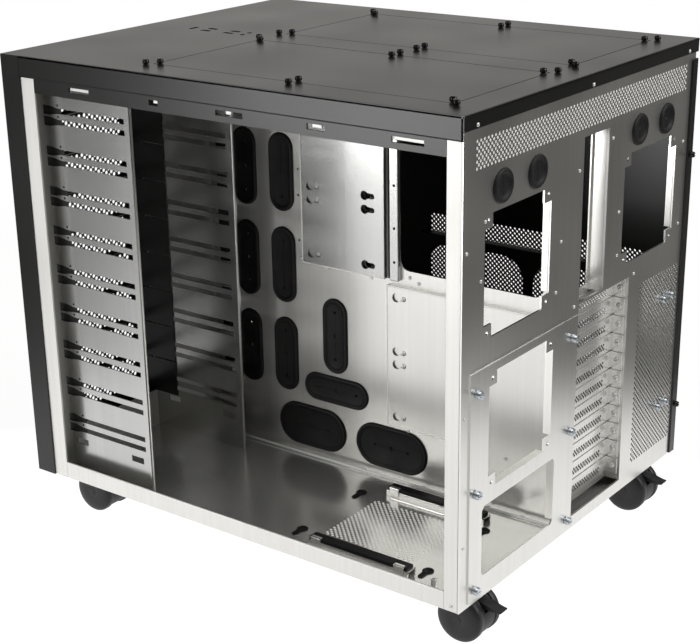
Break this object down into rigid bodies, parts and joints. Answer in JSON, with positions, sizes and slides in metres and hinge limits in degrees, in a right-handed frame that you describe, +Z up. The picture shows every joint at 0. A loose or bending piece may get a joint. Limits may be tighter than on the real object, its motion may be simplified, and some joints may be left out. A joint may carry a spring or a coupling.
{
  "type": "pc case",
  "caption": "Wide tower computer case on twin-wheel casters, one side panel off, with drive columns at the front, a board tray and fan openings behind.",
  "frame": {"origin": "on the floor under the middle of the case", "axes": "+Z up, -Y towards the front bezel, +X towards the open side"},
  "size_m": [0.455, 0.5856, 0.532],
  "materials": {
    "brushed_aluminium": "brushed and clear anodised sheet",
    "black_anodised_aluminium": "brushed and black anodised sheet",
    "zinc_plated_steel": "turned and zinc plated",
    "black_rubber": "moulded, dull",
    "black_moulding": "moulded with a fine grain",
    "caster_tread": "moulded, dull"
  },
  "bodies": {
    "chassis": {"base_pan": "brushed_aluminium", "front_frame": "brushed_aluminium", "bay_wall_right_outer": "brushed_aluminium", "bay_wall_right_inner": "brushed_aluminium", "bay_wall_left_inner": "brushed_aluminium", "bay_wall_left_outer": "brushed_aluminium", "rear_panel": "brushed_aluminium", "slot_bracket": "brushed_aluminium", "rear_plate": "brushed_aluminium", "motherboard_tray": "brushed_aluminium", "tray_plate_upper": "brushed_aluminium", "tray_plate_lower": "brushed_aluminium", "psu_rest_near": "brushed_aluminium", "psu_rest_far": "brushed_aluminium", "slot_cover_01": "brushed_aluminium", "slot_cover_02": "brushed_aluminium", "slot_cover_03": "brushed_aluminium", "slot_cover_04": "brushed_aluminium", "slot_cover_05": "brushed_aluminium", "slot_cover_06": "brushed_aluminium", "slot_cover_07": "brushed_aluminium", "slot_cover_08": "brushed_aluminium", "slot_cover_09": "brushed_aluminium", "slot_cover_10": "brushed_aluminium", "slot_cover_11": "brushed_aluminium", "front_bezel": "black_anodised_aluminium", "bay_covers_right": "black_anodised_aluminium", "bay_covers_left": "black_anodised_aluminium", "top_cover": "black_anodised_aluminium", "top_panel_right": "black_anodised_aluminium", "top_panel_left": "black_anodised_aluminium", "side_rail_right": "black_anodised_aluminium", "side_rail_left": "black_anodised_aluminium", "side_panel": "black_anodised_aluminium", "side_fan_bracket": "black_anodised_aluminium", "black_thumbscrews": "black_anodised_aluminium", "zinc_thumbscrews": "zinc_plated_steel", "slot_screws": "zinc_plated_steel", "caster_plates": "zinc_plated_steel", "tray_grommets": "black_rubber", "rear_grommets": "black_rubber", "floor_grommets": "black_rubber", "psu_rest_pads": "black_rubber", "port_block": "black_moulding"},
    "caster_rear_right": {"caster_hood_rear_right": "black_moulding"},
    "wheel_rear_right_a": {"caster_wheel_rear_right_a": "caster_tread"},
    "wheel_rear_right_b": {"caster_wheel_rear_right_b": "caster_tread"},
    "brake_rear_right": {"brake_lever_rear_right": "black_moulding"},
    "caster_rear_left": {"caster_hood_rear_left": "black_moulding"},
    "wheel_rear_left_a": {"caster_wheel_rear_left_a": "caster_tread"},
    "wheel_rear_left_b": {"caster_wheel_rear_left_b": "caster_tread"},
    "brake_rear_left": {"brake_lever_rear_left": "black_moulding"},
    "caster_front_right": {"caster_hood_front_right": "black_moulding"},
    "wheel_front_right_a": {"caster_wheel_front_right_a": "caster_tread"},
    "wheel_front_right_b": {"caster_wheel_front_right_b": "caster_tread"},
    "caster_front_left": {"caster_hood_front_left": "black_moulding"},
    "wheel_front_left_a": {"caster_wheel_front_left_a": "caster_tread"},
    "wheel_front_left_b": {"caster_wheel_front_left_b": "caster_tread"},
    "power_button_body": {"power_button": "black_moulding"},
    "reset_button_body": {"reset_button": "black_moulding"}
  },
  "joints": [
    {"name": "swivel_rear_right", "type": "hinge", "parent": "chassis", "child": "caster_rear_right", "pos_m": [0.1725, 0.23475, 0.045], "axis": [0, 0, 1], "continuous": true},
    {"name": "roll_rear_right_a", "type": "hinge", "parent": "caster_rear_right", "child": "wheel_rear_right_a", "pos_m": [0.1891, 0.25275, 0.025], "axis": [1, 0, 0], "continuous": true},
    {"name": "roll_rear_right_b", "type": "hinge", "parent": "caster_rear_right", "child": "wheel_rear_right_b", "pos_m": [0.1559, 0.25275, 0.025], "axis": [1, 0, 0], "continuous": true},
    {"name": "brake_rear_right", "type": "hinge", "parent": "caster_rear_right", "child": "brake_rear_right", "pos_m": [0.1725, 0.26675, 0.041], "axis": [1, 0, 0], "range_deg": [-18, 0]},
    {"name": "swivel_rear_left", "type": "hinge", "parent": "chassis", "child": "caster_rear_left", "pos_m": [-0.1725, 0.23475, 0.045], "axis": [0, 0, 1], "continuous": true},
    {"name": "roll_rear_left_a", "type": "hinge", "parent": "caster_rear_left", "child": "wheel_rear_left_a", "pos_m": [-0.1559, 0.25275, 0.025], "axis": [1, 0, 0], "continuous": true},
    {"name": "roll_rear_left_b", "type": "hinge", "parent": "caster_rear_left", "child": "wheel_rear_left_b", "pos_m": [-0.1891, 0.25275, 0.025], "axis": [1, 0, 0], "continuous": true},
    {"name": "brake_rear_left", "type": "hinge", "parent": "caster_rear_left", "child": "brake_rear_left", "pos_m": [-0.1725, 0.26675, 0.041], "axis": [1, 0, 0], "range_deg": [-18, 0]},
    {"name": "swivel_front_right", "type": "hinge", "parent": "chassis", "child": "caster_front_right", "pos_m": [0.1725, -0.22525, 0.045], "axis": [0, 0, 1], "continuous": true},
    {"name": "roll_front_right_a", "type": "hinge", "parent": "caster_front_right", "child": "wheel_front_right_a", "pos_m": [0.1559, -0.24325, 0.025], "axis": [1, 0, 0], "continuous": true},
    {"name": "roll_front_right_b", "type": "hinge", "parent": "caster_front_right", "child": "wheel_front_right_b", "pos_m": [0.1891, -0.24325, 0.025], "axis": [1, 0, 0], "continuous": true},
    {"name": "swivel_front_left", "type": "hinge", "parent": "chassis", "child": "caster_front_left", "pos_m": [-0.1725, -0.22525, 0.045], "axis": [0, 0, 1], "continuous": true},
    {"name": "roll_front_left_a", "type": "hinge", "parent": "caster_front_left", "child": "wheel_front_left_a", "pos_m": [-0.1891, -0.24325, 0.025], "axis": [1, 0, 0], "continuous": true},
    {"name": "roll_front_left_b", "type": "hinge", "parent": "caster_front_left", "child": "wheel_front_left_b", "pos_m": [-0.1559, -0.24325, 0.025], "axis": [1, 0, 0], "continuous": true},
    {"name": "power_press", "type": "slide", "parent": "chassis", "child": "power_button_body", "axis": [0, 1, 0], "range_m": [0, 0.002], "stiffness_N_per_m": 400},
    {"name": "reset_press", "type": "slide", "parent": "chassis", "child": "reset_button_body", "axis": [0, 1, 0], "range_m": [0, 0.002], "stiffness_N_per_m": 400}
  ]
}
